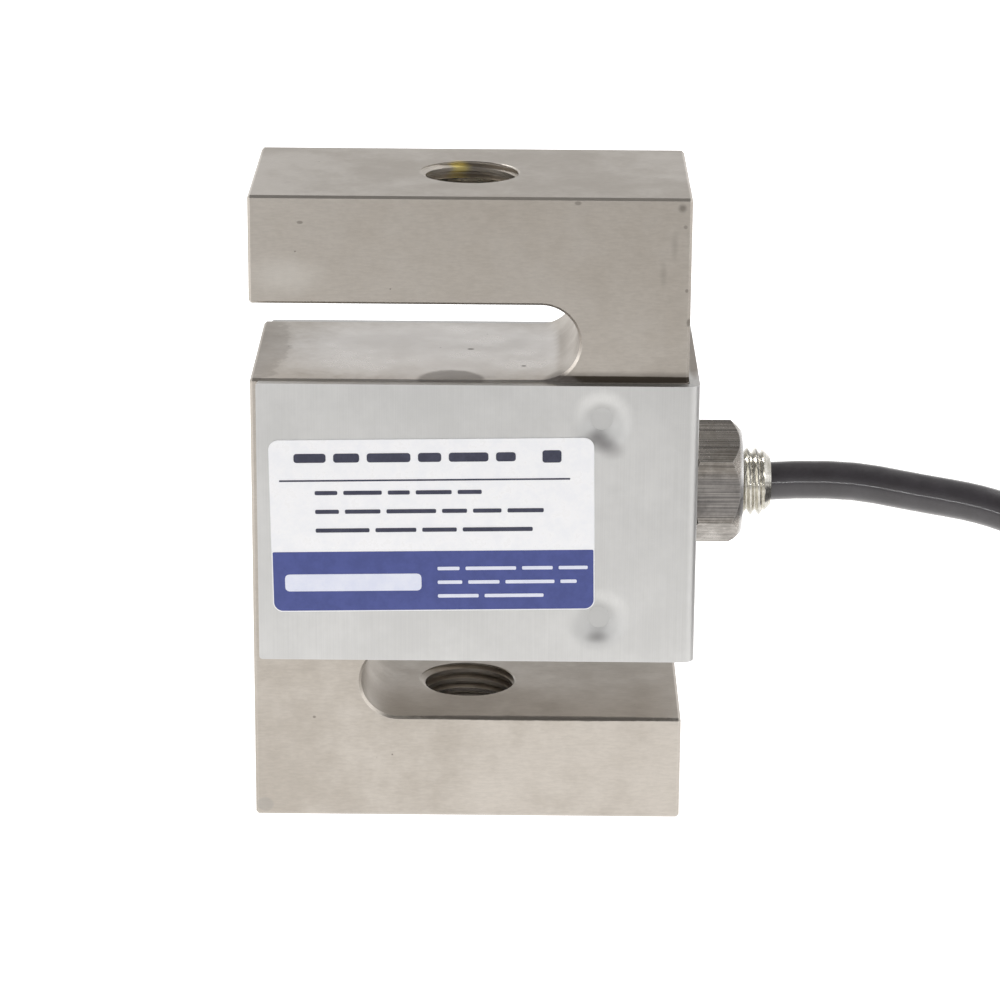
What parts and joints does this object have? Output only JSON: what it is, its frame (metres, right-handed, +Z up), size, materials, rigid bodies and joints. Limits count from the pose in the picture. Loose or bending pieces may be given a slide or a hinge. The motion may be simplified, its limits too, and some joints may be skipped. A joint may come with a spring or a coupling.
{
  "type": "s-type load cell",
  "caption": "S-shaped load cell for tension or compression: slotted steel body with a folded side cover, load threads in both ends, a cable gland and a coiled cable.",
  "frame": {"origin": "where the axis of the lower load thread meets the flat base face", "axes": "+Z up along the axis of both load threads, +X towards the cable gland, -Y towards the rating label"},
  "size_m": [0.1849, 0.0657, 0.0762],
  "materials": {
    "body_steel": "nickel plated, satin",
    "cover_steel": "plated sheet, satin",
    "gland_metal": "nickel plated, turned and milled",
    "label_film": "printed film",
    "sealing_compound": "cast compound",
    "gauge_film": "amber film",
    "terminal_metal": "plated",
    "board_green": "coated laminate",
    "resistor_body": "moulded",
    "cable_jacket": "extruded jacket",
    "strap_plastic": "moulded",
    "shrink_plastic": "shrunk sleeve",
    "tinned_wire": "tinned copper",
    "core_red": "extruded",
    "core_black": "extruded",
    "core_green": "extruded",
    "core_white": "extruded"
  },
  "bodies": {
    "root": {"balance_resistor": "resistor_body", "cable_coil": "cable_jacket", "cable_lead": "cable_jacket", "cable_seal": "sealing_compound", "cable_tail": "cable_jacket", "core_black": "core_black", "core_black_tip": "tinned_wire", "core_green": "core_green", "core_green_tip": "tinned_wire", "core_red": "core_red", "core_red_tip": "tinned_wire", "core_white": "core_white", "core_white_tip": "tinned_wire", "far_strap": "strap_plastic", "front_gauge": "gauge_film", "front_potting": "sealing_compound", "front_terminal": "terminal_metal", "gland_nut": "gland_metal", "gland_sleeve": "gland_metal", "inner_core_black": "core_black", "inner_core_green": "core_green", "inner_core_red": "core_red", "inner_core_white": "core_white", "near_strap": "strap_plastic", "rating_label": "label_film", "rear_gauge": "gauge_film", "rear_potting": "sealing_compound", "rear_terminal": "terminal_metal", "shield_drain": "tinned_wire", "shrink_sleeve": "shrink_plastic", "side_cover": "cover_steel", "span_resistor": "resistor_body", "spring_element": "body_steel", "trim_board": "board_green", "zero_resistor": "resistor_body"}
  },
  "joints": []
}
